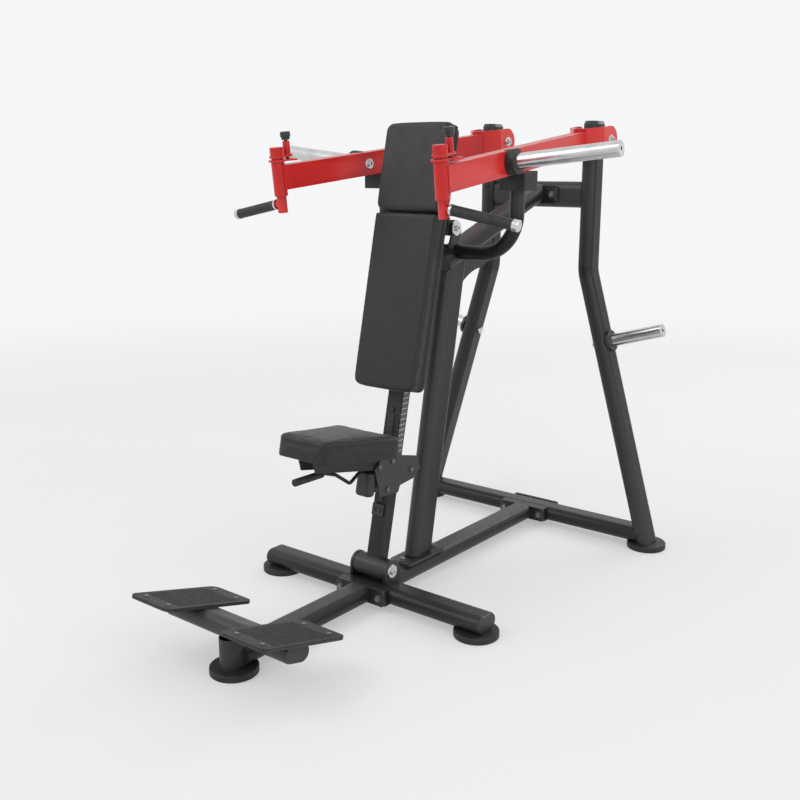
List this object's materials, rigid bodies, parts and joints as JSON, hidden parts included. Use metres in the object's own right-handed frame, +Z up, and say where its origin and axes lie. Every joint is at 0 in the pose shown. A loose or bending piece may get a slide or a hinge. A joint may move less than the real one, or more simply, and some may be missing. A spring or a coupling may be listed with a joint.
{
  "type": "shoulder press machine",
  "caption": "Plate-loaded seated shoulder press: independent pivoting arms with swivel handles, height-adjustable seat on a reclined column, splayed rear frame and foot plates.",
  "frame": {"origin": "on the floor, under the middle of the machine's length and width", "axes": "+X towards the right of someone who faces the seat, +Y from the foot plates to the rear uprights, +Z up"},
  "size_m": [1.3856, 1.9323, 1.646],
  "materials": {
    "frame_paint": "satin",
    "arm_paint": "gloss",
    "bright_steel": "polished",
    "dark_fixings": "satin",
    "vinyl": "fine grain",
    "board": "black stain",
    "black_rubber": "matte",
    "black_plastic": "matte",
    "slide_plastic": "smooth"
  },
  "bodies": {
    "frame": {"arm_bushes": "slide_plastic", "bumper": "black_rubber", "foot_cross_tube": "frame_paint", "foot_discs": "black_rubber", "foot_plates": "frame_paint", "foot_screws": "dark_fixings", "foot_treads": "black_rubber", "frame_bolts": "dark_fixings", "frame_pivot_bolts": "bright_steel", "front_beam": "frame_paint", "front_cross_beam": "frame_paint", "front_post": "frame_paint", "hinge_shaft": "bright_steel", "left_rear_upright": "frame_paint", "main_upright": "frame_paint", "neck_tube": "frame_paint", "rear_beam": "frame_paint", "rear_cross_beam": "frame_paint", "right_rear_upright": "frame_paint", "stop_blocks": "black_rubber", "storage_horns": "bright_steel", "top_cross_tube": "frame_paint", "tube_caps": "black_plastic", "yoke_tube": "frame_paint"},
    "seat_column": {"column": "frame_paint", "column_bushes": "slide_plastic", "column_ladder": "frame_paint", "column_strips": "slide_plastic", "column_stops": "black_plastic", "pad_board": "board", "back_cushion": "vinyl", "head_cushion": "vinyl", "pad_screws": "dark_fixings"},
    "carriage": {"seat_carriage": "frame_paint", "carriage_glides": "slide_plastic", "carriage_bolts": "dark_fixings", "latch_cover": "black_plastic", "seat_board": "board", "seat_cushion": "vinyl", "seat_screws": "dark_fixings"},
    "release_lever": {"seat_lever": "frame_paint", "lever_grip": "black_rubber"},
    "left_press_arm": {"left_arm": "arm_paint", "left_pivot_shaft": "bright_steel", "left_plate_horn": "bright_steel", "left_horn_collar": "black_rubber", "left_arm_bolts": "bright_steel"},
    "left_swivel_handle": {"left_handle": "arm_paint", "left_handle_grip": "black_rubber", "left_handle_trim": "bright_steel"},
    "left_index_pin": {"left_pull_pin": "black_plastic"},
    "right_press_arm": {"right_arm": "arm_paint", "right_pivot_shaft": "bright_steel", "right_plate_horn": "bright_steel", "right_horn_collar": "black_rubber", "right_arm_bolts": "bright_steel"},
    "right_swivel_handle": {"right_handle": "arm_paint", "right_handle_grip": "black_rubber", "right_handle_trim": "bright_steel"},
    "right_index_pin": {"right_pull_pin": "black_plastic"}
  },
  "joints": [
    {"name": "seat_column_rock", "type": "hinge", "parent": "frame", "child": "seat_column", "pos_m": [0, -0.156, 0.122], "axis": [1, 0, 0], "range_deg": [0, 4]},
    {"name": "seat_height", "type": "slide", "parent": "seat_column", "child": "carriage", "axis": [0, 0.2147, 0.9767], "range_m": [-0.02, 0.13]},
    {"name": "seat_release", "type": "hinge", "parent": "carriage", "child": "release_lever", "pos_m": [0, -0.175, 0.494], "axis": [-1, 0, 0], "range_deg": [0, 4], "stiffness_Nm_per_rad": 8, "springref_deg": -22.92},
    {"name": "left_press", "type": "hinge", "parent": "frame", "child": "left_press_arm", "pos_m": [-0.229, 0.89, 1.576], "axis": [-1, 0, 0], "range_deg": [0, 45]},
    {"name": "left_handle_swivel", "type": "hinge", "parent": "left_press_arm", "child": "left_swivel_handle", "pos_m": [-0.333, -0.23801, 1.44149], "axis": [0, -0.1184, 0.993], "range_deg": [-40, 40]},
    {"name": "left_pin_pull", "type": "slide", "parent": "left_swivel_handle", "child": "left_index_pin", "axis": [0, -0.1184, 0.993], "range_m": [0, 0.012], "stiffness_N_per_m": 800, "springref_m": -0.01},
    {"name": "right_press", "type": "hinge", "parent": "frame", "child": "right_press_arm", "pos_m": [0.229, 0.89, 1.576], "axis": [-1, 0, 0], "range_deg": [0, 45]},
    {"name": "right_handle_swivel", "type": "hinge", "parent": "right_press_arm", "child": "right_swivel_handle", "pos_m": [0.333, -0.23801, 1.44149], "axis": [0, -0.1184, 0.993], "range_deg": [-40, 40]},
    {"name": "right_pin_pull", "type": "slide", "parent": "right_swivel_handle", "child": "right_index_pin", "axis": [0, -0.1184, 0.993], "range_m": [0, 0.012], "stiffness_N_per_m": 800, "springref_m": -0.01}
  ]
}
